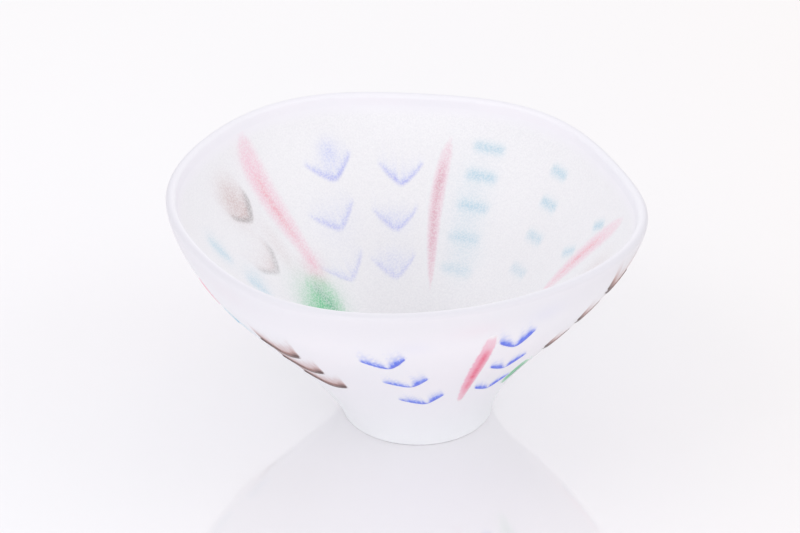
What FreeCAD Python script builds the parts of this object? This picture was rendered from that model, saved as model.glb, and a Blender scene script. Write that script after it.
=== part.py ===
import FreeCAD, Part
import math
import os

# Art glass bowl, blown in layers and flared by hand. A thick clear casing forms the outside, the foot and the
# rounded lip. A thin white lining covers its inside. Separate strokes of coloured glass are let into its outside.
# +Z is up, the origin is the middle of the ground foot, and all sizes are in millimetres.

# Overall sizes
HEIGHT = 118.5  # from the foot to the crest of the lip, on average
RIM_RADIUS = 113.5  # outside of the wall just under the lip, on average
FOOT_RADIUS = 37.0  # outside of the wall at the foot, before its edge is rounded

# The wall's outline: radius gained for each millimetre of rise, where it leaves the foot and where it meets the lip
FOOT_FLARE = 0.25
LIP_FLARE = 0.15

# Thicknesses
WALL = 4.8  # casing and lining together
LINING = 1.2  # white lining alone
BASE = 12.0  # glass under the middle of the bowl, casing and lining together
FOOT_ROUND = 3.0  # rounding of the foot's outer edge
LINING_DROP = 4.0  # from the end of the wall, under the lip, down to the lining's edge
FLOOR_RISE = 20.0  # height at which the inside turns from the wall into the floor
FLOOR_RADIUS = 18.0  # flat middle of the inside floor

# Free-blown form: the lip is neither round nor level, and its middle stands to one side of the foot's
LEAN = (-6.5, 0.8)
# Each wave is (waves round the lip, cosine part, sine part), as shares of the radius and as millimetres of height
OUT_OF_ROUND = [
    (2, 0.006, -0.010),
    (3, 0.012, 0.001),
    (4, -0.006, -0.011),
    (5, -0.012, -0.011),
    (6, 0.007, -0.004),
]
UNEVEN_LIP = [(1, -0.7, -0.2), (2, 0.1, -1.1), (4, 0.1, -0.9)]

# Coloured strokes
SEAT = 0.7  # depth of a stroke's pocket in the casing
EDGE_STEP = 0.1  # how far a stroke's edge stands out of the casing
CROWN = 0.25  # how much further its middle stands out
BLUNT_END = 0.3  # width of a stroke's end, as a share of its full width
ELBOW = 0.35  # roundness of a crescent's middle: 0 is a sharp V

# Height and rim radius of the bowl that the two tables below are given for. On another bowl the strokes keep their
# shares of its height, and their own sizes shrink or grow with it.
TABLE_HEIGHT = 118.5
TABLE_RADIUS = 113.5

# Columns of like strokes, numbered from the top: name, count, middle of the top stroke, middle of the bottom stroke
# (each as degrees round the bowl and millimetres up), then each stroke's length, width, sag and tilt in degrees.
# A stroke with a sag hangs in the middle like a crescent or a shallow V. Degrees count from +X towards +Y, which is to the right
# for someone who looks at the outside, and a stroke with a positive tilt climbs that way.
COLUMNS = [
    ("blue_crescent_far_left", 3, (113.6, 83), (121.5, 44), 22, 4.5, 8, -6),
    ("blue_crescent_far_right", 3, (91.4, 79), (97.5, 42), 20, 4.5, 7.5, 0),
    ("blue_crescent_front_left", 3, (264.5, 85.5), (275.5, 43), 21.5, 4.5, 8.5, 13),
    ("blue_crescent_front_right", 3, (300, 92), (305.5, 46.5), 18.5, 4.5, 8.5, 13),
    ("turquoise_dash_far", 5, (64.5, 94), (66.5, 42.5), 16, 5.0, 0, 0),
    ("turquoise_dash_right", 4, (40, 94.5), (35, 51.5), 11, 5.0, 0, 0),
    ("turquoise_dash_left", 2, (174, 79), (172.5, 58), 16, 4.5, 0, 80),
    ("turquoise_dash_near_right", 2, (12, 89), (17, 71), 9, 4.5, 0, -40),
    ("turquoise_dash_near_left", 1, (209.5, 80), (209.5, 80), 14, 5.0, 0, -12),
    ("brown_scallop_front_left", 3, (231, 75.5), (236, 49.5), 24, 5.0, 6, -5),
    ("brown_scallop_far_left", 2, (151, 80.5), (156.5, 59.5), 19, 5.5, 7, -15),
    ("brown_scallop_right", 3, (333.5, 97), (324.5, 67), 21, 5.0, 6, 0),
]

# Single strokes: name, upper end, lower end (degrees round the bowl and millimetres up), width and sag
BARS = [
    ("rose_bar_front", (291.3, 100.5), (292.7, 36), 7.0, -2),
    ("rose_bar_far_left", (139.3, 109), (136.3, 50), 9.0, 2),
    ("rose_bar_right", (3, 101), (14, 53), 7.0, 2),
    ("rose_bar_near_left", (204.5, 100), (207.5, 85.5), 5.0, 0),
    ("crimson_bar_far", (77.3, 94), (79.8, 36), 7.5, 2),
    ("green_streak_far_left", (143, 47), (137.5, 27), 11.0, 0),
    ("green_streak_front_right", (315.5, 62), (318, 38), 5.0, 0),
]

# Stations that the surfaces pass through
WALL_RINGS = 14
LIP_RINGS = 7
FOOT_RINGS = 5
FLOOR_RINGS = 6
RING_POINTS = 32
STROKE_STATIONS = 9
STROKE_ROWS = 5

WALL_RISE = HEIGHT - WALL / 2  # the wall ends where the lip's half round begins
LINING_EDGE = 1 - LINING_DROP / WALL_RISE
STROKE_LIFT = HEIGHT / TABLE_HEIGHT
STROKE_SIZE = min(STROKE_LIFT, RIM_RADIUS / TABLE_RADIUS)


def outline(share):
    """Radius and height of the wall's outside at a share of its rise, and the direction it climbs in.

    The radius follows a cubic that starts at the foot's radius and slope and ends at the lip's."""
    gain = RIM_RADIUS - FOOT_RADIUS
    foot_slope = FOOT_FLARE * WALL_RISE
    lip_slope = LIP_FLARE * WALL_RISE
    radius = (
        FOOT_RADIUS
        + gain * (3 * share**2 - 2 * share**3)
        + foot_slope * (share**3 - 2 * share**2 + share)
        + lip_slope * (share**3 - share**2)
    )
    widening = (
        gain * (6 * share - 6 * share**2)
        + foot_slope * (3 * share**2 - 4 * share + 1)
        + lip_slope * (3 * share**2 - 2 * share)
    )
    length = math.hypot(widening, WALL_RISE)
    return radius, share * WALL_RISE, widening / length, WALL_RISE / length


def waves(terms, turn):
    """Sum of the given waves at an angle round the bowl."""
    return sum(a * math.cos(k * turn) + b * math.sin(k * turn) for k, a, b in terms)


def shaped(radius, height, share, turn):
    """Point of the free-blown form: the round form's point, moved by waves and lean that grow towards the lip."""
    grown = share**2
    leant = share * (2 - share)
    r = radius * (1 + grown * waves(OUT_OF_ROUND, turn))
    return FreeCAD.Vector(
        r * math.cos(turn) + leant * LEAN[0],
        r * math.sin(turn) + leant * LEAN[1],
        height + grown * waves(UNEVEN_LIP, turn),
    )


def wall_point(share, turn, depth=0.0, beyond=0.0):
    """Point of the wall at a depth below its outside, and beyond the end of the wall along its direction."""
    radius, height, outward, upward = outline(share)
    return shaped(
        radius - depth * upward + beyond * outward,
        height + depth * outward + beyond * upward,
        share,
        turn,
    )


def ring(point_at):
    """Closed smooth wire through the points that a function gives at even angles round the bowl."""
    curve = Part.BSplineCurve()
    points = [point_at(2 * math.pi * i / RING_POINTS) for i in range(RING_POINTS)]
    curve.interpolate(points, PeriodicFlag=True)
    return Part.Wire(curve.toShape())


def skin(rings):
    """Smooth faces through a row of rings."""
    return Part.makeLoft(rings, False, len(rings) == 2).Faces


def spread(first, last, count):
    """Evenly spaced values from first to last."""
    return [first + (last - first) * i / (count - 1) for i in range(count)]


def wall_ring(share, depth):
    return ring(lambda turn: wall_point(share, turn, depth))


def outside_rings():
    """Rings of the outside, from the top of the foot's rounding to the end of the wall."""
    return [wall_ring(share, 0) for share in spread(FOOT_ROUND / WALL_RISE, 1, WALL_RINGS)]


def foot_rings():
    """Rings of the foot's rounded edge: a quarter round from the ground face up to the wall."""
    top = FOOT_ROUND / WALL_RISE
    radius = outline(top)[0]
    rings = []
    for angle in spread(0, math.pi / 2, FOOT_RINGS):
        r = radius - FOOT_ROUND * (1 - math.sin(angle))
        rise = 1 - math.cos(angle)
        rings.append(ring(lambda turn, r=r, rise=rise: shaped(r, FOOT_ROUND * rise, top * rise, turn)))
    return rings


def lip_rings():
    """Rings of the lip: half a round of the wall's thickness, from its outside over the crest to its inside."""
    half = WALL / 2
    rings = []
    for angle in spread(0, math.pi, LIP_RINGS):
        depth = half * (1 - math.cos(angle))
        beyond = half * math.sin(angle)
        rings.append(ring(lambda turn, d=depth, b=beyond: wall_point(1, turn, d, b)))
    return rings


def inside_rings(depth, floor):
    """Rings of an inner surface, from the lining's edge down the wall and along a quarter of an ellipse to the floor."""
    turning = FLOOR_RISE / WALL_RISE
    rings = [wall_ring(share, depth) for share in spread(LINING_EDGE, turning, WALL_RINGS)]
    radius, height, outward, upward = outline(turning)
    radius -= depth * upward
    height += depth * outward
    for angle in spread(0, math.pi / 2, FLOOR_RINGS)[1:]:
        r = FLOOR_RADIUS + (radius - FLOOR_RADIUS) * math.cos(angle)
        z = height - (height - floor) * math.sin(angle)
        share = turning * math.cos(angle)
        rings.append(ring(lambda turn, r=r, z=z, share=share: shaped(r, z, share, turn)))
    return rings


def closed(faces):
    """Solid inside a closed set of faces."""
    solid = Part.Solid(Part.Shell(faces))
    if solid.Volume < 0:
        solid.reverse()
    if not solid.isValid():
        raise ValueError("the faces don't close")
    return solid


def make_casing():
    """Clear casing with its lip and foot, before the strokes' pockets are cut."""
    outside = outside_rings()
    foot = foot_rings()
    lip = lip_rings()
    bare_band = [wall_ring(share, WALL) for share in spread(1, LINING_EDGE, 3)]
    seat = inside_rings(WALL - LINING, BASE - LINING)
    return closed(
        skin(foot)
        + skin(outside)
        + skin(lip)
        + skin(bare_band)
        + skin([bare_band[-1], seat[0]])
        + skin(seat)
        + [Part.Face(foot[0]), Part.Face(seat[-1])]
    )


def make_lining():
    """White lining: the layer between the casing's inside and the hollow of the bowl."""
    seat = inside_rings(WALL - LINING, BASE - LINING)
    hollow = inside_rings(WALL, BASE)
    return closed(
        skin(seat) + skin(hollow) + skin([seat[0], hollow[0]]) + [Part.Face(seat[-1]), Part.Face(hollow[-1])]
    )


def droop(along):
    """How far a sagging stroke has risen from its middle, as a share of its sag: a V with a rounded elbow."""
    return (math.hypot(along, ELBOW) - ELBOW) / (math.hypot(1, ELBOW) - ELBOW)


def make_stroke(degrees, height, length, width, sag, tilt):
    """Stroke of coloured glass: a tapered band on the wall, crowned outside and flat against its pocket.

    Its centre line sags in the middle and is turned by the tilt. Its width swells like half an ellipse from blunt
    ends."""
    share = height / WALL_RISE
    radius, _, _, upward = outline(share)
    middle = math.radians(degrees)
    cos_tilt = math.cos(math.radians(tilt))
    sin_tilt = math.sin(math.radians(tilt))

    def point(along, across, depth):
        swell = BLUNT_END + (1 - BLUNT_END) * math.sqrt(1 - along**2)
        x = length / 2 * along
        y = sag * (droop(along) - 0.5) + width / 2 * swell * across
        right = x * cos_tilt - y * sin_tilt
        up = x * sin_tilt + y * cos_tilt
        return wall_point(share + up * upward / WALL_RISE, middle + right / radius, depth)

    def face(depth_at):
        surface = Part.BSplineSurface()
        rows = spread(-1, 1, STROKE_ROWS)
        surface.interpolate([[point(a, c, depth_at(c)) for c in rows] for a in spread(-1, 1, STROKE_STATIONS)])
        return surface.toShape()

    outer = face(lambda across: -EDGE_STEP - CROWN * (1 - across**2))
    inner = face(lambda across: SEAT)
    sides = [Part.makeRuledSurface(a, b) for a, b in zip(outer.Edges, inner.Edges)]
    return closed([outer, inner] + sides)


def column_strokes():
    """Every stroke of the columns, by name, evenly spaced from the top one to the bottom one."""
    strokes = {}
    for name, count, top, bottom, length, width, sag, tilt in COLUMNS:
        for number in range(count):
            down = number / max(count - 1, 1)
            degrees = top[0] + (bottom[0] - top[0]) * down
            height = (top[1] + (bottom[1] - top[1]) * down) * STROKE_LIFT
            label = f"{name}_{number + 1}" if count > 1 else name
            sizes = [STROKE_SIZE * size for size in (length, width, sag)]
            strokes[label] = make_stroke(degrees, height, *sizes, tilt)
    return strokes


def bar_strokes():
    """Every single stroke, by name: its length and tilt come from its two ends."""
    strokes = {}
    for name, upper, lower, width, sag in BARS:
        degrees = (upper[0] + lower[0]) / 2
        height = (upper[1] + lower[1]) / 2 * STROKE_LIFT
        radius, _, _, upward = outline(height / WALL_RISE)
        right = math.radians(upper[0] - lower[0]) * radius
        up = (upper[1] - lower[1]) * STROKE_LIFT / upward
        length = math.hypot(right, up)
        tilt = math.degrees(math.atan2(up, right))
        strokes[name] = make_stroke(degrees, height, length, STROKE_SIZE * width, STROKE_SIZE * sag, tilt)
    return strokes


strokes = {**column_strokes(), **bar_strokes()}
casing = make_casing().cut(list(strokes.values()))
pieces = {"clear_casing": casing.Solids[0], "white_lining": make_lining(), **strokes}

os.makedirs("parts", exist_ok=True)
for name, shape in pieces.items():
    shape.exportStep(f"parts/{name}.step")
    print(name, "volume", round(shape.Volume, 1))
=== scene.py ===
import math

import bpy
import numpy as np
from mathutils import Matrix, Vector


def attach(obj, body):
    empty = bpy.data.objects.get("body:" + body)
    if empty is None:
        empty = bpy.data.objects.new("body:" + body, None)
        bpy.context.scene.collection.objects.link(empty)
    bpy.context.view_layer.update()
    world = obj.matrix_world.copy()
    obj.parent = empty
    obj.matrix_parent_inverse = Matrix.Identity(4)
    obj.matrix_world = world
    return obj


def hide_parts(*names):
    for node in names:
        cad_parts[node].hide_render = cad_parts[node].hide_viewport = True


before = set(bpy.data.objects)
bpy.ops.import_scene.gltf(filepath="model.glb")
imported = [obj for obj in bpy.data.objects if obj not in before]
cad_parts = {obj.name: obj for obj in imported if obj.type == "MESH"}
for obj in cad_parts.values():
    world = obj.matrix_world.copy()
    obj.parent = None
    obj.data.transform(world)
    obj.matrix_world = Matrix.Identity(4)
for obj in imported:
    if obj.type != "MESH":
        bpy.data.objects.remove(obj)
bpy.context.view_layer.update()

# Art glass bowl: a satin casing with a fire-polished lip, a grainy white lining, and strokes of coloured
# glass let into the outside, which show through the lining as soft, speckled marks.
# Surfaces are worked out as arrays in millimetres and put into the meshes in metres.

MM = 0.001

# Form of the bowl, the same as the construction's
HEIGHT = 118.5
RIM_RADIUS = 113.5
FOOT_RADIUS = 37.0
FOOT_FLARE = 0.25
LIP_FLARE = 0.15
WALL = 4.8
LINING = 1.2
BASE = 12.0
LINING_DROP = 4.0
FLOOR_RISE = 20.0
FLOOR_RADIUS = 18.0
LEAN = (-6.5, 0.8)
OUT_OF_ROUND = [
    (2, 0.006, -0.010),
    (3, 0.012, 0.001),
    (4, -0.006, -0.011),
    (5, -0.012, -0.011),
    (6, 0.007, -0.004),
]
UNEVEN_LIP = [(1, -0.7, -0.2), (2, 0.1, -1.1), (4, 0.1, -0.9)]
WALL_RISE = HEIGHT - WALL / 2
LINING_EDGE = 1 - LINING_DROP / WALL_RISE

# Two things that differ from the construction: a tighter soft edge on the ground foot, and an inside that
# runs into its floor without a crease. The span says how long its curve keeps to its two ends' directions.
FOOT_ROUND = 1.0
FLOOR_SPAN = 1.25

# Strokes: seat in the casing, edge's step, crown and blunt end, as in the construction
SEAT = 0.7
EDGE_STEP = 0.1
CROWN = 0.25
BLUNT_END = 0.3
ELBOW = 0.35
COLUMNS = [
    ("blue_crescent_far_left", 3, (113.6, 83), (121.5, 44), 22, 4.5, 8, -6),
    ("blue_crescent_far_right", 3, (91.4, 79), (97.5, 42), 20, 4.5, 7.5, 0),
    ("blue_crescent_front_left", 3, (264.5, 85.5), (275.5, 43), 21.5, 4.5, 8.5, 13),
    ("blue_crescent_front_right", 3, (300, 92), (305.5, 46.5), 18.5, 4.5, 8.5, 13),
    ("turquoise_dash_far", 5, (64.5, 94), (66.5, 42.5), 16, 5.0, 0, 0),
    ("turquoise_dash_right", 4, (40, 94.5), (35, 51.5), 11, 5.0, 0, 0),
    ("turquoise_dash_left", 2, (174, 79), (172.5, 58), 16, 4.5, 0, 80),
    ("turquoise_dash_near_right", 2, (12, 89), (17, 71), 9, 4.5, 0, -40),
    ("turquoise_dash_near_left", 1, (209.5, 80), (209.5, 80), 14, 5.0, 0, -12),
    ("brown_scallop_front_left", 3, (231, 75.5), (236, 49.5), 24, 5.0, 6, -5),
    ("brown_scallop_far_left", 2, (151, 80.5), (156.5, 59.5), 19, 5.5, 7, -15),
    ("brown_scallop_right", 3, (333.5, 97), (324.5, 67), 21, 5.0, 6, 0),
]
BARS = [
    ("rose_bar_front", (291.3, 100.5), (292.7, 36), 7.0, -2),
    ("rose_bar_far_left", (139.3, 109), (136.3, 50), 9.0, 2),
    ("rose_bar_right", (3, 101), (14, 53), 7.0, 2),
    ("rose_bar_near_left", (204.5, 100), (207.5, 85.5), 5.0, 0),
    ("crimson_bar_far", (77.3, 94), (79.8, 36), 7.5, 2),
    ("green_streak_far_left", (143, 47), (137.5, 27), 11.0, 0),
    ("green_streak_front_right", (315.5, 62), (318, 38), 5.0, 0),
]

# Fineness of the meshes
ROUND = 600  # points round the bowl
WALL_STEPS = 100
LIP_STEPS = 12
SEAT_STEPS = 16
ALONG_STEPS = 61
ACROSS_STEPS = 17
SEAT_ACROSS_STEPS = 5
FACE_RINGS = (0.2, 0.95, 5)  # rings of the foot's flat face: first and last share of its radius, and count
FLOOR_RINGS = (0.75, 0.25, 3)  # the same for the flat middle of the inside's floor
FOOT_EDGE_STEPS = 9
BAND_STEPS = 5
SHARP_ANGLE = 50  # edges of more degrees are shaded as sharp


def linear(red, green, blue):
    """Linear light of a colour given as 0 to 255 screen values."""
    c = np.array([red, green, blue]) / 255
    return np.where(c <= 0.04045, c / 12.92, ((c + 0.055) / 1.055) ** 2.4)


# Glass colours: deep where the glass is thick, pale where it thins out.
# edge: thickness of the deep line along a stroke's lower side, in mm, or 0 for a bar
# body: cover above that line
# tail: how far the colour bleeds above the stroke, in mm
# shine: cover as seen from the inside, through the lining
# spread: size of the mark seen from the inside, as a share of the stroke's: a bar's width, a line's length
GLASS = {
    "blue": dict(
        deep=linear(66, 84, 230), pale=linear(120, 148, 246),
        edge=3.8, body=0.95, tail=9.0, shine=0.48, spread=1.1,
    ),
    "turquoise": dict(
        deep=linear(84, 172, 206), pale=linear(140, 204, 226),
        edge=5.5, body=0.7, tail=1.5, shine=0.42, spread=1.2,
    ),
    "rose": dict(
        deep=linear(238, 70, 114), pale=linear(246, 154, 186),
        edge=0, body=0.66, tail=0, shine=0.44, spread=1.6,
    ),
    "crimson": dict(
        deep=linear(206, 80, 124), pale=linear(232, 140, 174),
        edge=0, body=0.7, tail=0, shine=0.48, spread=1.0,
    ),
    "brown": dict(
        deep=linear(36, 16, 16), pale=linear(190, 142, 134),
        edge=6.8, body=0.7, tail=17.0, shine=0.42, spread=1.0,
    ),
    "green": dict(
        deep=linear(24, 128, 110), pale=linear(84, 200, 134),
        edge=0, body=0.8, tail=0, shine=0.62, spread=1.5,
    ),
}

# How the colour of a line stroke lies: brown scallops are even patches, the others are thin, streaked lines.
# wander: how much the thickness wanders along the stroke
# lopsided: how much thicker the line is to the right than to the left
# elbow: how much the line thins at the elbow
# line_fall, bleed_fall: powers with which the line, and the colour that bleeds up from it, fall off
# reach_streaks, bleed_streaks, line_streaks: share of the bleed's reach, its cover and the line's in streaks
# inside: thickness of the line seen from inside, as a share
# wedge: width of the pale wedge seen from inside above the elbow, as a share of the length
BROWN_LINE = dict(
    wander=0.15, lopsided=-0.5, elbow=0.1, line_fall=3, bleed_fall=4,
    reach_streaks=0.3, bleed_streaks=0.15, line_streaks=0.0, inside=0.8, wedge=0.24,
)
THIN_LINE = dict(
    wander=0.5, lopsided=0.3, elbow=0.45, line_fall=2, bleed_fall=2,
    reach_streaks=0.7, bleed_streaks=0.5, line_streaks=0.2, inside=1.0, wedge=0.18,
)
# How fast the ripples of a stroke's colour run, in radians per mm: streaks, broad waves, and ragged sides
LINE_STREAKS = 3.1
LINE_WAVES = 0.9
BAR_STREAKS = 2.7
BAR_WAVES = 0.16
BAR_RAGS = 0.7
BOLDER = ("blue_crescent_front_right", 1.4)  # column with a thicker line, and how much
FAINTER = ("turquoise_dash_left", 0.45)  # column that shows less through the lining, and its cover
FADING = (85, 45, 0.5)  # heights from which and to which marks seen from inside fade, and by how much

# Polish of the glass above the satin wall, from 0 to 1. The same value also greys the casing's colour: partly
# the real greyer tone of the clear glass there, partly painted shade that keeps the up-facing lip and top of
# the wall from looking brighter than the rest
POLISH_AND_SHADE_FROM = 0.8  # share of the wall's rise
WALL_POLISH_AND_SHADE = 0.45
LIP_POLISH_AND_SHADE = 0.35
BAND_POLISH_AND_SHADE = 0.25

# Colour that lies in the glass as a haze: seen from inside or outside, middle (degrees, height), spread
# sideways and up the wall in mm, glass it comes from, and its cover
HAZES = [
    ("inside", (67, 66), 10, 26, "turquoise", 0.14),
    ("inside", (64, 50), 9, 12, "turquoise", 0.10),
    ("inside", (146, 34), 12, 15, "green", 0.66),
    ("inside", (155, 33), 9, 8, "green", 0.30),
    ("inside", (140, 96), 6, 14, "rose", 0.14),
    ("inside", (137, 49), 6, 8, "rose", 0.30),
    ("inside", (153, 88), 8, 12, "brown", 0.34),
    ("inside", (147, 62), 5, 14, "brown", 0.12),
    ("inside", (355, 76), 8, 14, "brown", 0.18),
    ("inside", (174, 80), 6, 9, "turquoise", 0.20),
    ("inside", (171, 60), 7, 8, "turquoise", 0.22),
    ("inside", (113, 90), 5, 7, "blue", 0.24),
    ("inside", (118, 62), 12, 12, "blue", 0.05),
    ("inside", (94.5, 60), 7, 6, "blue", 0.10),
    ("inside", (97.5, 44), 8, 7, "blue", 0.10),
    ("outside", (213.5, 79), 9, 6, "turquoise", 0.75),
    ("outside", (316.5, 50), 4, 9, "green", 0.70),
    ("outside", (288, 106), 13, 5, "rose", 0.05),
    ("outside", (306, 106), 10, 6, "blue", 0.05),
    ("outside", (222, 108), 14, 6, "rose", 0.03),
    ("outside", (272, 98), 9, 6, "blue", 0.04),
]


# ---------------------------------------------------------------- form


def outline(share):
    """Radius and height of the wall's outside at a share of its rise, and the unit direction it climbs in.

    The radius is the cubic that starts at the foot's radius and slope and ends at the lip's."""
    gain = RIM_RADIUS - FOOT_RADIUS
    foot_slope = FOOT_FLARE * WALL_RISE
    lip_slope = LIP_FLARE * WALL_RISE
    radius = (
        FOOT_RADIUS
        + gain * (3 * share**2 - 2 * share**3)
        + foot_slope * (share**3 - 2 * share**2 + share)
        + lip_slope * (share**3 - share**2)
    )
    widening = (
        gain * (6 * share - 6 * share**2)
        + foot_slope * (3 * share**2 - 4 * share + 1)
        + lip_slope * (3 * share**2 - 2 * share)
    )
    length = np.hypot(widening, WALL_RISE)
    return radius, share * WALL_RISE, widening / length, WALL_RISE / length


def waves(terms, turn):
    """Sum of cosine and sine waves round the bowl."""
    return sum(a * np.cos(k * turn) + b * np.sin(k * turn) for k, a, b in terms)


def shaped(radius, height, share, turn):
    """Points of the free-blown form: the round form's, moved by waves and a lean that grow to the lip."""
    grown = share**2
    leant = share * (2 - share)
    r = radius * (1 + grown * waves(OUT_OF_ROUND, turn))
    x = r * np.cos(turn) + leant * LEAN[0]
    y = r * np.sin(turn) + leant * LEAN[1]
    z = height + grown * waves(UNEVEN_LIP, turn)
    return np.stack(np.broadcast_arrays(x, y, z), axis=-1)


def wall_point(share, turn, depth=0.0, beyond=0.0):
    """Points of the wall at a depth below its outside, and beyond the end of the wall along its direction."""
    radius, height, outward, upward = outline(share)
    return shaped(
        radius - depth * upward + beyond * outward, height + depth * outward + beyond * upward, share, turn
    )


def turns():
    """Even angles round the bowl, as a row."""
    return np.linspace(0, 2 * np.pi, ROUND, endpoint=False)[None, :]


def column(first, last, count):
    """Evenly spaced values down a column."""
    return np.linspace(first, last, count)[:, None]


def inside_rings(depth, floor, steps):
    """Shares and points of an inner surface: from the lining's edge down the wall, along a curve that leaves
    the wall in its own direction and runs level into the floor's flat middle, and in to the floor's centre.

    The curve is a cubic: each end's point and direction, times the cubic's share of it."""
    turning = FLOOR_RISE / WALL_RISE
    down = column(LINING_EDGE, turning, steps)
    wall = wall_point(down, turns(), depth)
    radius, height, outward, upward = outline(turning)
    radius -= depth * upward
    height += depth * outward
    t = column(0, 1, steps // 4)[1:]
    span = FLOOR_SPAN * math.hypot(radius - FLOOR_RADIUS, height - floor)
    start, leave = 2 * t**3 - 3 * t**2 + 1, t**3 - 2 * t**2 + t
    finish, arrive = 3 * t**2 - 2 * t**3, t**3 - t**2
    r = radius * start - span * outward * leave + FLOOR_RADIUS * finish - span * arrive
    z = height * start - span * upward * leave + floor * finish
    sunk = turning * (1 - t) ** 2
    curve = shaped(r, z, sunk, turns())
    flat = column(*FLOOR_RINGS)
    middle = shaped(FLOOR_RADIUS * flat, floor, 0.0, turns())
    return np.concatenate([down, sunk, 0 * flat]), np.concatenate([wall, curve, middle])


# ---------------------------------------------------------------- strokes


def strokes():
    """Every stroke as name, glass, middle (degrees, height), length, width, sag and tilt."""
    found = []
    for name, count, top, bottom, length, width, sag, tilt in COLUMNS:
        for number in range(count):
            down = number / max(count - 1, 1)
            degrees = top[0] + (bottom[0] - top[0]) * down
            height = top[1] + (bottom[1] - top[1]) * down
            label = f"{name}_{number + 1}" if count > 1 else name
            found.append((label, name.split("_")[0], degrees, height, length, width, sag, tilt))
    for name, upper, lower, width, sag in BARS:
        degrees = (upper[0] + lower[0]) / 2
        height = (upper[1] + lower[1]) / 2
        radius, _, _, upward = outline(height / WALL_RISE)
        right = math.radians(upper[0] - lower[0]) * radius
        up = (upper[1] - lower[1]) / upward
        tilt = math.degrees(math.atan2(up, right))
        found.append((name, name.split("_")[0], degrees, height, math.hypot(right, up), width, sag, tilt))
    return found


def swell(along):
    """Width of a stroke along its length, as a share of its full width: half an ellipse on blunt ends."""
    return BLUNT_END + (1 - BLUNT_END) * np.sqrt(np.clip(1 - along**2, 0, 1))


def droop(along):
    """How far a sagging stroke has risen from its middle, as a share of its sag: a V with a rounded elbow."""
    return (np.hypot(along, ELBOW) - ELBOW) / (math.hypot(1, ELBOW) - ELBOW)


def stroke_points(stroke, along, across, depth):
    """Points, shares and turns of the wall under a stroke's own coordinates: along its centre line and across
    it, each -1 to 1."""
    _, _, degrees, height, length, width, sag, tilt = stroke
    share = height / WALL_RISE
    radius, _, _, upward = outline(share)
    x = length / 2 * along
    y = sag * (droop(along) - 0.5) + width / 2 * swell(along) * across
    cos_tilt, sin_tilt = math.cos(math.radians(tilt)), math.sin(math.radians(tilt))
    right = x * cos_tilt - y * sin_tilt
    up = x * sin_tilt + y * cos_tilt
    turn = math.radians(degrees) + right / radius
    share = share + up * upward / WALL_RISE
    return wall_point(share, turn, depth), share, turn


def stroke_coordinates(stroke, share, turn):
    """The other way round: where points of the wall lie along a stroke (-1 to 1 on it), how far above its
    centre line they lie, and half its width there, in millimetres."""
    _, _, degrees, height, length, width, sag, tilt = stroke
    middle = height / WALL_RISE
    radius, _, _, upward = outline(middle)
    right = (np.mod(turn - math.radians(degrees) + np.pi, 2 * np.pi) - np.pi) * radius
    up = (share - middle) * WALL_RISE / upward
    cos_tilt, sin_tilt = math.cos(math.radians(tilt)), math.sin(math.radians(tilt))
    x = right * cos_tilt + up * sin_tilt
    y = up * cos_tilt - right * sin_tilt
    along = x / (length / 2)
    centre = sag * (droop(np.clip(along, -1.3, 1.3)) - 0.5)
    half = width / 2 * swell(np.clip(along, -1, 1))
    return along, y - centre, half


def smooth(low, high, value):
    """0 below low, 1 above high, and a smooth rise between."""
    t = np.clip((value - low) / (high - low), 0, 1)
    return t * t * (3 - 2 * t)


def ripple(place, scale, seed):
    """Smooth wandering value from -1 to 1: a sum of sines whose phases follow one another."""
    total = 0.0
    for octave in range(4):
        angle = place * scale * (1.0 + 0.83 * octave) + seed * (2.3 + octave)
        total = total + np.sin(angle + 1.7 * np.sin(0.37 * angle + seed * 1.9 + octave))
    return total / 4


def bell(value, middle, spread):
    """Smooth hump of height 1 at a middle value."""
    return np.exp(-(((value - middle) / spread) ** 2))


def streaky(share, streak):
    """1 on a streak, and less by a share off it."""
    return 1 - share + share * streak


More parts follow.
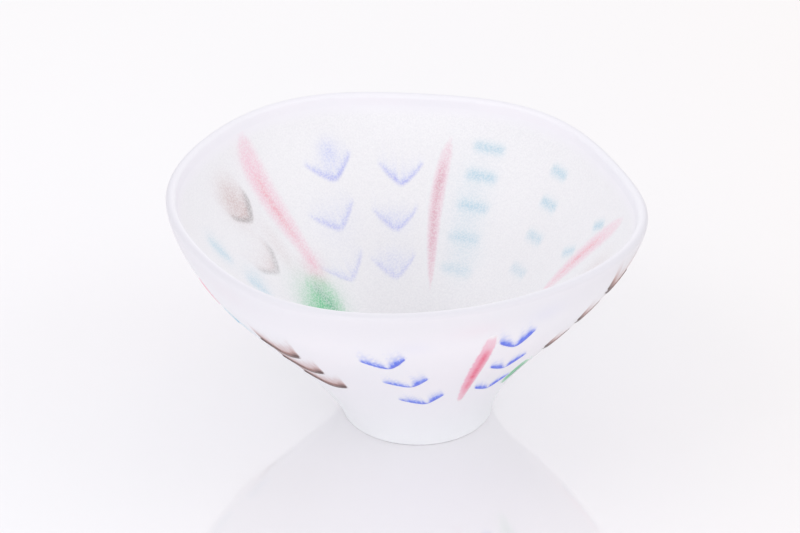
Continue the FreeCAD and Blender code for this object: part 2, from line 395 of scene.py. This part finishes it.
def marked_line(stroke, along, above, half, inside, seed):
    """Cover and depth of a crescent, dash or scallop, whose lower edge is crisp and deep.

    Above that edge the line falls off as exp(-(risen / thick) ** line_fall) and the colour that bleeds up from
    it as exp(-(risen / reach) ** bleed_fall). Both wander along the stroke, and streaks break them. A bent
    stroke thins at its elbow and has one stronger side. Seen from inside the line is softer, a bent stroke has
    a wedge of colour above its elbow, and a dash is an even blob."""
    name, glass_name, _, _, length, width, sag, _ = stroke
    glass = GLASS[glass_name]
    brown = glass_name == "brown"
    look = BROWN_LINE if brown else THIN_LINE
    bent = 1.0 if sag else 0.0
    place = along * length / 2
    streak = 0.5 + 0.5 * ripple(place, LINE_STREAKS, seed)
    broad = 0.5 + look["wander"] * ripple(place, LINE_WAVES, seed + 5)

    climbing = 1 + look["lopsided"] * bent * np.clip(along, -1, 0.5)
    middle = 0.06 * (seed % 5 - 2)
    elbow = 1 - look["elbow"] * bent * bell(along, middle, 0.13)
    if brown:
        lobes, end = 1.0, 1 + 0.5 * bell(along, 0.75, 0.25)
    else:
        lobes = np.clip(1 - ((np.abs(along - middle) - 0.5) / 0.58) ** 2, 0.04, 1) if bent else 1.0
        end = 1 - 0.5 * bent * smooth(0.5, 1, along)
    bold = BOLDER[1] if name.startswith(BOLDER[0]) else 1.0
    thick = bold * glass["edge"] * climbing * elbow * end * (0.7 + 0.5 * broad)
    if inside:
        soft, streak, thick = 1.5, streaky(0.4, streak), look["inside"] * thick
        ends = 1 - smooth(0.84 if bent else 0.55, 1.16, np.abs(along))
    else:
        soft, ends = 0.35, 1 - smooth(0.9, 1.02, np.abs(along))

    height = above + half
    started = smooth(-soft, soft, height)
    risen = np.clip(height, 0, None)
    line = np.exp(-((risen / thick) ** look["line_fall"]))
    rising = streaky(look["reach_streaks"], streak)
    reach = (0.8 * width + glass["tail"] * rising * lobes) * (0.6 + 0.5 * broad)
    fade = np.exp(-((risen / reach) ** look["bleed_fall"]))
    bleed = glass["body"] * fade * lobes * streaky(look["bleed_streaks"], streak)
    cover = line * streaky(look["line_streaks"], streak) + bleed
    depth = line**1.5 * (0.7 + 0.3 * broad)
    if inside and bent:
        wedge = bell(place, length * middle / 2, look["wedge"] * length) * bell(risen, 0, 1.5 * sag)
        cover = 0.8 * line + 0.15 * fade + (0.8 if brown else 0.3 * broad) * wedge
    elif inside:
        cover = streaky(0.3, streak) * bell(above / width, 0, 0.62)
        started, depth = 1.0, 0.45 * cover
    return started * ends * np.clip(cover, 0, 1), depth


def marked_bar(stroke, along, above, half, inside, seed):
    """Cover and depth of a bar: a pale feathered top, a deep core a little below it, soft ragged sides."""
    glass = GLASS[stroke[1]]
    place = along * stroke[4] / 2
    streak = 0.5 + 0.5 * ripple(above, BAR_STREAKS, seed)
    broad = 0.5 + 0.5 * ripple(place, BAR_WAVES, seed)
    ragged = 0.5 * ripple(place, BAR_RAGS, seed + 3 * (above > 0))
    wide = glass["spread"] if inside or stroke[1] == "green" else 1.0
    soft = 0.55 if inside else 0.2
    side = np.abs(above) / (half * wide) + (0.1 if inside else 0.25) * ragged
    started = 1 - smooth(1 - soft, 1 + 0.5 * soft, side)
    ends = 1 - smooth(0.9, 1.16 if inside else 1.01, np.abs(along))
    feather = 1 - 0.5 * smooth(0.45, 1.0, along) * streaky(0.6, streak) - 0.35 * smooth(-0.4, -1.0, along)
    top = 0.2 if inside and stroke[1] == "rose" else 0.5
    core = smooth(-1.5, 0.1, along) * (1 - smooth(top, top + 0.3, along)) * (0.6 + 0.4 * broad)
    depth = bell(above / half, -0.1, 0.5 if inside else 0.6) * core
    cover = glass["body"] * feather + (1 - glass["body"]) * depth
    return started * ends * np.clip(cover, 0, 1), depth


def stain(stroke, share, turn, inside):
    """Cover and depth of the colour that a stroke gives to points of the wall.

    From inside, a line stroke's mark is spread along it, and marks that aren't long bars' fade lower down."""
    name, glass_name, _, height = stroke[:4]
    glass = GLASS[glass_name]
    along, above, half = stroke_coordinates(stroke, share, turn)
    if inside and glass["edge"]:
        along = along / glass["spread"]
    seed = sum(map(ord, name)) % 17
    marked = marked_line if glass["edge"] else marked_bar
    cover, depth = marked(stroke, along, above, half, inside, seed)
    fainter = 1.0
    if inside and "_bar" not in name:
        high, low, loss = FADING
        fainter = 1 - loss * smooth(high, low, height)
    if inside and name.startswith(FAINTER[0]):
        fainter = FAINTER[1]
    return cover * fainter, np.clip(depth, 0, 1)


def haze(middle, across, up, share, turn):
    """How strongly a haze is felt at points of the wall, from 1 at its middle to 0 far off."""
    degrees, height = middle
    radius, _, _, upward = outline(height / WALL_RISE)
    x = (np.mod(turn - math.radians(degrees) + np.pi, 2 * np.pi) - np.pi) * radius
    y = (share * WALL_RISE - height) / upward
    return bell(x, 0, across) * bell(y, 0, up)


def stained(share, turn, inside, only=None):
    """Cover and pigment of points of the wall: each haze and then every stroke's colour, laid over the ones
    before. With a name, only that stroke's."""
    share, turn = np.broadcast_arrays(share, turn)
    layers = []
    for side, middle, across, up, glass_name, strength in HAZES:
        if only is None and (side == "inside") == inside:
            felt = haze(middle, across, up, share, turn)
            layers.append((glass_name, strength * felt, 0 * felt))
    for stroke in strokes():
        if only in (None, stroke[0]):
            laid, depth = stain(stroke, share, turn, inside)
            shine = GLASS[stroke[1]]["shine"] if inside else 1.0
            layers.append((stroke[1], laid * shine, depth))
    cover = np.zeros(share.shape)
    pigment = np.ones(share.shape + (3,))
    for glass_name, laid, depth in layers:
        glass = GLASS[glass_name]
        colour = glass["pale"] + depth[..., None] * (glass["deep"] - glass["pale"])
        total = np.clip(cover * (1 - laid) + laid, 1e-6, 1)
        weight = (laid / total)[..., None]
        pigment = np.where(total[..., None] > 1e-5, pigment * (1 - weight) + colour * weight, pigment)
        cover = total
    return cover, pigment


# ---------------------------------------------------------------- meshes


def shell(name, rings):
    """Closed mesh through rings of points, given in millimetres as rings by points by three.

    Neighbouring rings are joined by quads, and the first and last are closed by fans to their middles. Faces
    are turned outwards by the sign of the enclosed volume."""
    count, around = rings.shape[:2]
    first_pole = count * around
    points = np.concatenate([rings.reshape(-1, 3), [rings[0].mean(0)], [rings[-1].mean(0)]]) * MM
    index = np.arange(count * around).reshape(count, around)
    following = np.roll(index, -1, axis=1)
    quads = np.stack([index[:-1], following[:-1], following[1:], index[1:]], axis=-1).reshape(-1, 4)
    low = np.stack([following[0], index[0], np.full(around, first_pole)], axis=-1)
    high = np.stack([index[-1], following[-1], np.full(around, first_pole + 1)], axis=-1)
    fans = np.concatenate([low, high])
    a, b, c, d = (points[quads[:, corner]] for corner in range(4))
    volume = np.einsum("ij,ij->", a, np.cross(b, c)) + np.einsum("ij,ij->", a, np.cross(c, d))
    a, b, c = (points[fans[:, corner]] for corner in range(3))
    volume += np.einsum("ij,ij->", a, np.cross(b, c))
    if volume < 0:
        quads, fans = quads[:, ::-1], fans[:, ::-1]
    mesh = bpy.data.meshes.new(name)
    mesh.vertices.add(len(points))
    mesh.vertices.foreach_set("co", points.ravel())
    loops = np.concatenate([quads.ravel(), fans.ravel()])
    sizes = np.concatenate([np.full(len(quads), 4), np.full(len(fans), 3)])
    mesh.loops.add(len(loops))
    mesh.loops.foreach_set("vertex_index", loops.astype(np.int32))
    mesh.polygons.add(len(sizes))
    mesh.polygons.foreach_set("loop_start", (np.cumsum(sizes) - sizes).astype(np.int32))
    mesh.polygons.foreach_set("use_smooth", np.ones(len(sizes), bool))
    mesh.update(calc_edges=True)
    mesh.set_sharp_from_angle(angle=math.radians(SHARP_ANGLE))
    piece = bpy.data.objects.new(name, mesh)
    bpy.context.scene.collection.objects.link(piece)
    return piece


def paint(piece, values):
    """Stores values worked out for the rings' points on the mesh. Each pole takes its ring's mean."""
    for name, value in values.items():
        value = np.asarray(value, float)
        vector = value.ndim == 3
        flat = value.reshape(-1, 3) if vector else value.reshape(-1)
        flat = np.concatenate([flat, [value[0].mean(0)], [value[-1].mean(0)]])
        kind = "FLOAT_VECTOR" if vector else "FLOAT"
        attribute = piece.data.attributes.new(name, kind, "POINT")
        attribute.data.foreach_set("vector" if vector else "value", flat.astype(np.float32).ravel())


def make_casing():
    """Outside of the bowl: the ground foot, its rounded edge, the wall, half a round over the lip, and the
    bare band down to the lining; then the hidden seat of the lining, so that the glass is one closed body.

    The polish grows over the top of the wall, is strongest on the lip just outside its crest, and is low and
    even on the band. Where it is polished the colour is also greyed: partly the clear glass's own tone, partly
    painted shade on the up-facing lip and top of the wall."""
    turn = turns()
    top = FOOT_ROUND / WALL_RISE
    radius = outline(top)[0]
    angle = column(0, math.pi / 2, FOOT_EDGE_STEPS)
    rounding = 1 - np.cos(angle)
    face = shaped((radius - FOOT_ROUND) * column(*FACE_RINGS), 0.0, 0.0, turn)
    edge = shaped(radius - FOOT_ROUND * (1 - np.sin(angle)), FOOT_ROUND * rounding, top * rounding, turn)
    climb = column(top, 1, WALL_STEPS)[1:]
    wall = wall_point(climb, turn)
    over = column(0, math.pi, LIP_STEPS)[1:]
    lip = wall_point(1.0, turn, WALL / 2 * (1 - np.cos(over)), WALL / 2 * np.sin(over))
    down = column(1, LINING_EDGE, BAND_STEPS)[1:]
    band = wall_point(down, turn, WALL)
    _, seat = inside_rings(WALL - LINING, BASE - LINING, SEAT_STEPS)
    piece = shell("bowl_casing", np.concatenate([face, edge, wall, lip, band, seat]))

    foot_share, hidden_share = np.zeros((len(face), 1)), np.zeros((len(seat), 1))
    share = np.concatenate([foot_share, top * rounding, climb, np.ones_like(over), down, hidden_share])
    lip_start = len(face) + len(edge) + len(wall)
    lip_end = lip_start + len(lip)
    outside = np.arange(len(share))[:, None] < lip_start
    cover, pigment = stained(share, turn, inside=False)
    # polish and painted shade: smoother glass, and a greyer colour painted where the lip and the top of the
    # wall face up into the light
    polish_and_shade = WALL_POLISH_AND_SHADE * outside * smooth(POLISH_AND_SHADE_FROM, 1.0, share)
    polish_and_shade[lip_start:lip_end] = LIP_POLISH_AND_SHADE + 0.1 * np.cos(over) + 0.65 * bell(over, 1.3, 0.9)
    polish_and_shade[lip_end:] = BAND_POLISH_AND_SHADE
    paint(piece, {"cover": cover * outside, "pigment": pigment, "polish_and_shade": polish_and_shade + 0 * turn})
    return piece


def make_lining():
    """White inside: the hidden side against the casing, and the air side from the lining's edge to the floor.

    It is marked as thinned close under its edge, where its grain fades."""
    share, air = inside_rings(WALL, BASE, WALL_STEPS)
    back_share, back = inside_rings(WALL - LINING, BASE - LINING, SEAT_STEPS)
    piece = shell("bowl_lining", np.concatenate([back[::-1], air]))
    cover, pigment = stained(share, turns(), inside=True)
    hidden = back.shape[:2]
    cover = np.concatenate([np.zeros(hidden), cover])
    pigment = np.concatenate([np.ones(hidden + (3,)), pigment])
    shares = np.concatenate([back_share, share])
    thinned = smooth(LINING_EDGE - 0.06, LINING_EDGE, shares) + 0 * turns()
    paint(piece, {"cover": cover, "pigment": pigment, "thinned": thinned})
    return piece


def make_stroke(stroke):
    """Stroke of coloured glass: a crowned band over its seat, each cross section a closed loop."""
    along = np.linspace(-1, 1, ALONG_STEPS)[:, None]
    back = np.linspace(1, -1, SEAT_ACROSS_STEPS)
    across = np.concatenate([np.linspace(-1, 1, ACROSS_STEPS), back])[None, :]
    outer = np.arange(across.shape[1])[None, :] < ACROSS_STEPS
    depth = np.where(outer, -EDGE_STEP - CROWN * (1 - across**2), SEAT)
    points, share, turn = stroke_points(stroke, along, across, depth)
    piece = shell(stroke[0] + "_glass", points)
    cover, pigment = stained(share, turn, inside=False, only=stroke[0])
    paint(piece, {"cover": cover, "pigment": pigment})
    return piece


# ---------------------------------------------------------------- materials


class Value:
    """A number that varies over a surface. Its operators add Math nodes to the material."""

    def __init__(self, finish, socket):
        self.finish = finish
        self.socket = socket

    def combine(self, operation, first, second):
        return self.finish.node("ShaderNodeMath", {"operation": operation}, {0: first, 1: second}).value(0)

    def __add__(self, other):
        return self.combine("ADD", self, other)

    def __rsub__(self, other):
        return self.combine("SUBTRACT", other, self)

    def __mul__(self, other):
        return self.combine("MULTIPLY", self, other)

    __radd__ = __add__
    __rmul__ = __mul__


class Node:
    """One shader node, with its outputs as values or sockets."""

    def __init__(self, finish, made):
        self.finish = finish
        self.made = made

    def socket(self, name):
        return self.made.outputs[name]

    def value(self, name):
        return Value(self.finish, self.made.outputs[name])


class Finish:
    """A material in the making."""

    def __init__(self, name):
        self.material = bpy.data.materials.new(name)
        self.material.use_nodes = True
        self.tree = self.material.node_tree
        self.tree.nodes.clear()
        self.place = self.node("ShaderNodeTexCoord").socket("Object")

    def node(self, kind, settings=None, inputs=None):
        """Adds a node: its settings are set first, then its sockets are given numbers, colours or links."""
        made = self.tree.nodes.new(kind)
        for key, setting in (settings or {}).items():
            setattr(made, key, setting)
        for key, given in (inputs or {}).items():
            given = given.socket if isinstance(given, Value) else given
            if isinstance(given, bpy.types.NodeSocket):
                self.tree.links.new(given, made.inputs[key])
            else:
                made.inputs[key].default_value = given
        return Node(self, made)

    def attribute(self, name):
        return self.node("ShaderNodeAttribute", {"attribute_name": name})

    def noise(self, scale, detail=2, roughness=0.5):
        """Noise over the object, with features about 1/scale metres across."""
        inputs = {"Vector": self.place, "Scale": scale, "Detail": detail, "Roughness": roughness}
        return self.node("ShaderNodeTexNoise", {}, inputs).value("Fac")

    def between(self, value, low, high):
        """0 where a value is below low, 1 where it is above high."""
        inputs = {"Value": value, "From Min": low, "From Max": high}
        return self.node("ShaderNodeMapRange", {"interpolation_type": "SMOOTHSTEP"}, inputs).value(0)

    def mix(self, factor, first, second):
        """Colour between two colours."""
        inputs = {0: factor, 6: first, 7: second}
        return self.node("ShaderNodeMix", {"data_type": "RGBA"}, inputs).socket(2)

    def bump(self, height, strength, distance):
        inputs = {"Height": height, "Strength": strength, "Distance": distance}
        return self.node("ShaderNodeBump", {}, inputs).socket("Normal")

    def surface(self, inputs):
        """Ends the material with a Principled surface."""
        shader = self.node("ShaderNodeBsdfPrincipled", {}, inputs)
        self.node("ShaderNodeOutputMaterial", {}, {"Surface": shader.socket("BSDF")})
        return self.material


def shade(red, green, blue):
    """Colour for a socket, given as 0 to 255 screen values."""
    return tuple(float(c) for c in linear(red, green, blue)) + (1.0,)


def casing_finish():
    """Satin glass with a faint lavender cast, whitened towards the foot by painted light, greyer and smoother
    where it is polished, the grey partly its own and partly painted shade, with colour that bleeds above the
    strokes."""
    f = Finish("satin_casing_glass")
    fine = f.noise(900, roughness=0.6)
    polish_and_shade = f.attribute("polish_and_shade").value("Fac")
    height = f.node("ShaderNodeSeparateXYZ", {}, {"Vector": f.place}).value("Z")
    clouds = f.between(f.noise(14, detail=3, roughness=0.55), 0.35, 0.65)
    base = f.mix(clouds, shade(246, 245, 250), shade(249, 246, 251))
    # painted light: the casing is whitened over its lowest 70 mm, standing in for light that comes through the
    # thick glass of the lower body and lifting the shade at the waist
    base = f.mix(f.between(height, 0.0, 0.07), shade(250, 251, 254), base)
    # partly painted shade: the polished lip and wall top are greyed, partly for the clear glass's own tone,
    # partly to damp the light their up-facing tops catch
    base = f.mix(polish_and_shade, base, shade(226, 224, 231))
    cover = f.attribute("cover").value("Fac") * (0.7 + 0.6 * fine)
    satin = 0.44 - 0.06 * polish_and_shade + 0.06 * f.noise(60)
    skin = f.noise(420, detail=3, roughness=0.6) + 1.5 * f.noise(45)
    return f.surface(
        {
            "Base Color": f.mix(cover, base, f.attribute("pigment").socket("Vector")),
            "Roughness": satin,
            "Normal": f.bump(skin, strength=0.25, distance=0.0002),
            "IOR": 1.5,
            "Coat Weight": 0.1,
            "Coat Roughness": 0.25,
        }
    )


def lining_finish():
    """Grainy white glass: fine speckle, a pebbled skin with small glints that smooths out under the lip, and
    the strokes' colours showing through."""
    f = Finish("grainy_lining_glass")
    grain = f.noise(1100, detail=3, roughness=0.65)
    pebble = f.noise(300)
    thinned = f.attribute("thinned").value("Fac")
    base = f.mix(f.between(grain, 0.3, 0.7), shade(238, 237, 240), shade(245, 244, 246))
    base = f.mix(thinned, base, shade(243, 241, 246))
    speckle = f.between(grain, 0.62, 0.38) * 0.55 + 0.67
    cover = f.attribute("cover").value("Fac") * speckle
    skin = (pebble + 0.4 * grain) * (1 - 0.8 * thinned)
    return f.surface(
        {
            "Base Color": f.mix(cover, base, f.attribute("pigment").socket("Vector")),
            "Roughness": 0.3 + 0.15 * grain,
            "Normal": f.bump(skin, strength=0.35, distance=0.0004),
            "IOR": 1.5,
        }
    )


def stroke_finish(glass_name):
    """Coloured glass: its pigment over the casing's white, mottled and streaked where it thins."""
    f = Finish(glass_name + "_stroke_glass")
    mottle = f.noise(700, detail=3, roughness=0.6)
    cover = f.attribute("cover").value("Fac") * (0.75 + 0.5 * mottle)
    return f.surface(
        {
            "Base Color": f.mix(cover, shade(247, 245, 248), f.attribute("pigment").socket("Vector")),
            "Roughness": 0.38 + 0.1 * mottle,
            "Normal": f.bump(mottle, strength=0.2, distance=0.0002),
            "IOR": 1.5,
        }
    )


def floor_finish():
    """Pale, faintly glossy table top, a little warmer towards the back and the right."""
    f = Finish("pale_table")
    place = f.node("ShaderNodeSeparateXYZ", {}, {"Vector": f.place})
    clouds = f.between(f.noise(3, detail=3), 0.3, 0.7)
    colour = f.mix(clouds, shade(239, 238, 241), shade(241, 239, 242))
    colour = f.mix(f.between(place.value("Y"), -0.2, 1.2), colour, shade(235, 232, 231))
    colour = f.mix(f.between(place.value("X"), 0.0, 0.35), colour, shade(238, 234, 233))
    return f.surface({"Base Color": colour, "Roughness": 0.06, "IOR": 1.8})


# ---------------------------------------------------------------- studio


CAMERA_ELEVATION = 30.3  # degrees
CAMERA_DISTANCE = 1.4
CAMERA_TARGET = (-0.0087, 0.0, 0.0795)
CAMERA_LENS = 129.9  # mm, on a sensor 36 mm wide
LIGHT_TARGET = (0, 0, 0.06)
FLOOR_SIZE = 4.0
DAYLIGHT = (0.985, 0.985, 0.995, 1.0)
DAYLIGHT_STRENGTH = 0.91

# Square softboxes: name, place, size, power and colour
LIGHTS = [
    ("softbox_left", (-1.5, -0.5, 1.7), 1.5, 5.4, (0.98, 0.98, 1.0)),
    ("softbox_right", (1.6, -0.3, 1.3), 1.3, 4.0, (1, 1, 1)),
    ("softbox_front", (-0.4, -2.2, 0.3), 1.2, 10.0, (1, 1, 1)),
    ("backdrop_glow", (0.0, 2.4, 1.7), 3.0, 10.0, (1, 1, 1)),
]


def place_in_scene(name, data, place, target):
    """Puts a camera or light at a place, looking at a target, in metres."""
    thing = bpy.data.objects.new(name, data)
    bpy.context.scene.collection.objects.link(thing)
    thing.location = place
    thing.rotation_euler = (Vector(target) - Vector(place)).to_track_quat("-Z", "Y").to_euler()
    return thing


def make_camera():
    """Camera in front of the bowl and above it, looking down at it."""
    elevation = math.radians(CAMERA_ELEVATION)
    x, y, z = CAMERA_TARGET
    place = (x, y - CAMERA_DISTANCE * math.cos(elevation), z + CAMERA_DISTANCE * math.sin(elevation))
    data = bpy.data.cameras.new("camera")
    data.sensor_width = 36.0
    data.lens = CAMERA_LENS
    bpy.context.scene.camera = place_in_scene("camera", data, place, CAMERA_TARGET)


def make_light(name, place, size, power, colour):
    """Large square softbox that faces the bowl."""
    data = bpy.data.lights.new(name, "AREA")
    data.shape = "SQUARE"
    data.size = size
    data.energy = power
    data.color = colour
    place_in_scene(name, data, place, LIGHT_TARGET)


def make_floor():
    """Wide pale table top at the height the bowl stands on."""
    size = FLOOR_SIZE
    mesh = bpy.data.meshes.new("table_top")
    corners = [(-size, -size, 0), (size, -size, 0), (size, size, 0), (-size, size, 0)]
    mesh.from_pydata(corners, [], [(0, 1, 2, 3)])
    floor = bpy.data.objects.new("table_top", mesh)
    bpy.context.scene.collection.objects.link(floor)
    mesh.materials.append(floor_finish())


def make_studio():
    """Camera, table, lights and an even, pale daylight all round."""
    make_camera()
    make_floor()
    for row in LIGHTS:
        make_light(*row)
    world = bpy.data.worlds.new("studio")
    bpy.context.scene.world = world
    world.use_nodes = True
    background = world.node_tree.nodes["Background"]
    background.inputs["Color"].default_value = DAYLIGHT
    background.inputs["Strength"].default_value = DAYLIGHT_STRENGTH
    bpy.context.scene.view_settings.view_transform = "Standard"


# ---------------------------------------------------------------- bowl


def settle(piece, node, slot, finish):
    """Gives a piece its finish and lets it stand for its CAD node."""
    piece.data.materials.append(finish)
    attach(piece, "root")
    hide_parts(node)


make_studio()
settle(make_casing(), "clear_casing", "clear_glass", casing_finish())
settle(make_lining(), "white_lining", "white_glass", lining_finish())
finishes = {glass_name: stroke_finish(glass_name) for glass_name in GLASS}
for stroke in strokes():
    settle(make_stroke(stroke), stroke[0], stroke[1] + "_glass", finishes[stroke[1]])
